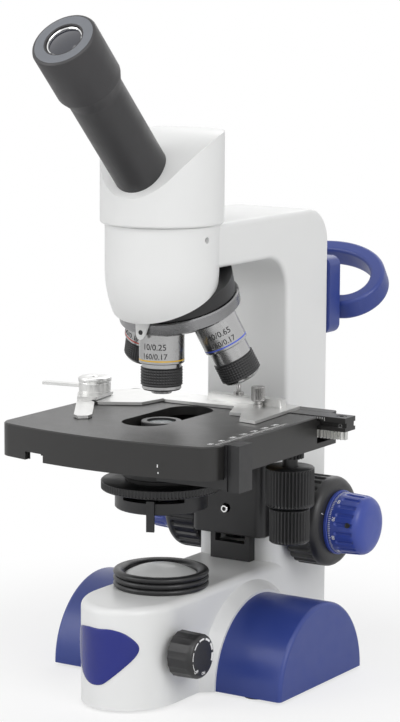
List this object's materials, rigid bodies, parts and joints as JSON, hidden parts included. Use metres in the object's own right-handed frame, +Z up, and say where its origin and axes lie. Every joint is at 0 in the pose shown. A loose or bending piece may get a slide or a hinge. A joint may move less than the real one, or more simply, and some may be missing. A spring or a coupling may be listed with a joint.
{
  "type": "monocular compound microscope",
  "caption": "Monocular microscope with tilted eye tube, turning nosepiece, mechanical stage with slide holder, condenser, rack focus, lamp base and rear handle.",
  "frame": {"origin": "centre of the footprint of the resting instrument, on the table", "axes": "+Z up; the eyepiece leans towards -Y, where the user sits; +X is the user's right, with the dimmer knob and the coaxial stage knobs"},
  "size_m": [0.171, 0.2794, 0.3409],
  "materials": {
    "white_casting": "satin off-white enamel",
    "blue_foot": "royal blue gloss plastic",
    "blue_badge": "blue gloss",
    "black_metal": "satin black",
    "black_plastic": "moulded black plastic",
    "dark_cover": "matt dark grey",
    "rubber": "matt black rubber",
    "steel": "turned steel",
    "chrome": "polished chrome",
    "aluminium": "satin clear anodised",
    "brass": "machined brass",
    "optical_glass": "polished, coated",
    "frosted_glass": "ground glass",
    "board": "green solder mask"
  },
  "bodies": {
    "frame": {"stand": "white_casting", "bottom_cover": "dark_cover", "rubber_pads": "rubber", "feet": "blue_foot", "badge_plate": "blue_badge", "collector_ring": "black_metal", "collector_lens": "frosted_glass", "lamp_board": "board", "power_inlet": "black_plastic", "dimmer_case": "steel", "focus_guide": "black_metal", "focus_bushes": "steel", "nosepiece_base": "black_metal", "turret_pivot": "steel", "handle": "blue_foot"},
    "dimmer": {"dimmer_knob": "black_plastic"},
    "carriage": {"stage_bracket": "black_metal", "focus_tongue": "steel", "focus_rack": "brass", "lower_plate": "black_metal", "condenser_collar": "black_metal", "y_rack": "brass", "vernier_block": "black_metal"},
    "coarse": {"coarse_shaft": "steel", "coarse_knobs": "black_plastic", "dial_collars": "blue_foot"},
    "fine": {"fine_shaft": "steel", "fine_knobs": "blue_foot"},
    "stage": {"stage_plate": "black_metal"},
    "y_drive": {"y_shaft": "steel", "y_knob": "black_plastic"},
    "x_slide": {"x_bar": "steel", "x_rack": "brass", "holder_plate": "chrome", "holder_rail": "chrome", "thumb_screw": "steel", "clip_pin": "steel"},
    "x_drive": {"x_shaft": "steel", "x_knob": "black_plastic"},
    "clip": {"clip_finger": "chrome"},
    "condenser": {"condenser_barrel": "chrome", "condenser_lenses": "optical_glass", "iris_housing": "black_metal"},
    "condenser_focus": {"condenser_ring": "black_metal"},
    "iris": {"iris_lever": "steel"},
    "nosepiece": {"turret": "aluminium", "blank_plug": "black_plastic", "objective_4x_barrel": "aluminium", "objective_10x_barrel": "aluminium", "objective_40x_barrel": "aluminium", "objective_4x_nose": "black_metal", "objective_10x_nose": "black_metal", "objective_40x_nose": "black_metal", "objective_lenses": "optical_glass"},
    "head": {"head_shell": "white_casting", "head_ring": "steel", "prism": "optical_glass", "eye_tube": "black_metal", "eyepiece": "black_plastic", "eyepiece_lenses": "optical_glass"}
  },
  "joints": [
    {"name": "dimmer_turn", "type": "hinge", "parent": "frame", "child": "dimmer", "pos_m": [0.0345, -0.07094, 0.028], "axis": [1, 0, 0], "range_deg": [0, 280]},
    {"name": "focus_slide", "type": "slide", "parent": "frame", "child": "carriage", "axis": [0, 0, 1], "range_m": [-0.013, 0]},
    {"name": "coarse_turn", "type": "hinge", "parent": "frame", "child": "coarse", "pos_m": [0.0065, 0.05356, 0.0735], "axis": [1, 0, 0], "range_deg": [-2, 126]},
    {"name": "fine_turn", "type": "hinge", "parent": "frame", "child": "fine", "pos_m": [0.0065, 0.05356, 0.0735], "axis": [1, 0, 0], "continuous": true},
    {"name": "stage_y_slide", "type": "slide", "parent": "carriage", "child": "stage", "axis": [0, 1, 0], "range_m": [-0.026, 0.004]},
    {"name": "y_drive_turn", "type": "hinge", "parent": "stage", "child": "y_drive", "pos_m": [0.057, -0.00244, 0.1], "axis": [0, 0, 1], "range_deg": [-232, 38]},
    {"name": "x_slide", "type": "slide", "parent": "stage", "child": "x_slide", "axis": [1, 0, 0], "range_m": [-0.023, 0.036]},
    {"name": "x_drive_turn", "type": "hinge", "parent": "stage", "child": "x_drive", "pos_m": [0.057, -0.00244, 0.08], "axis": [0, 0, 1], "range_deg": [-414, 266]},
    {"name": "clip_swing", "type": "hinge", "parent": "x_slide", "child": "clip", "pos_m": [-0.0555, -0.01344, 0.14], "axis": [0, 0, 1], "range_deg": [-28, 0], "stiffness_Nm_per_rad": 0.05},
    {"name": "condenser_slide", "type": "slide", "parent": "carriage", "child": "condenser", "axis": [0, 0, 1], "range_m": [-0.008, 0]},
    {"name": "condenser_ring_turn", "type": "hinge", "parent": "condenser", "child": "condenser_focus", "pos_m": [0.0065, -0.04444, 0.105], "axis": [0, 0, 1], "range_deg": [-101, 1]},
    {"name": "iris_turn", "type": "hinge", "parent": "condenser", "child": "iris", "pos_m": [0.0065, -0.04444, 0.101], "axis": [0, 0, 1], "range_deg": [-34, 34]},
    {"name": "nosepiece_turn", "type": "hinge", "parent": "frame", "child": "nosepiece", "pos_m": [0.0065, -0.04444, 0.2405], "axis": [0, 0.3305, -0.9438], "continuous": true},
    {"name": "head_turn", "type": "hinge", "parent": "frame", "child": "head", "pos_m": [0.0065, -0.04444, 0.2373], "axis": [0, 0, 1], "continuous": true}
  ],
  "couplings": [
    {"joint": "coarse_turn", "follows": "focus_slide", "rad_per_m": -166.67},
    {"joint": "y_drive_turn", "follows": "stage_y_slide", "rad_per_m": 153.85},
    {"joint": "x_drive_turn", "follows": "x_slide", "rad_per_m": -200},
    {"joint": "condenser_ring_turn", "follows": "condenser_slide", "rad_per_m": 218.17}
  ]
}
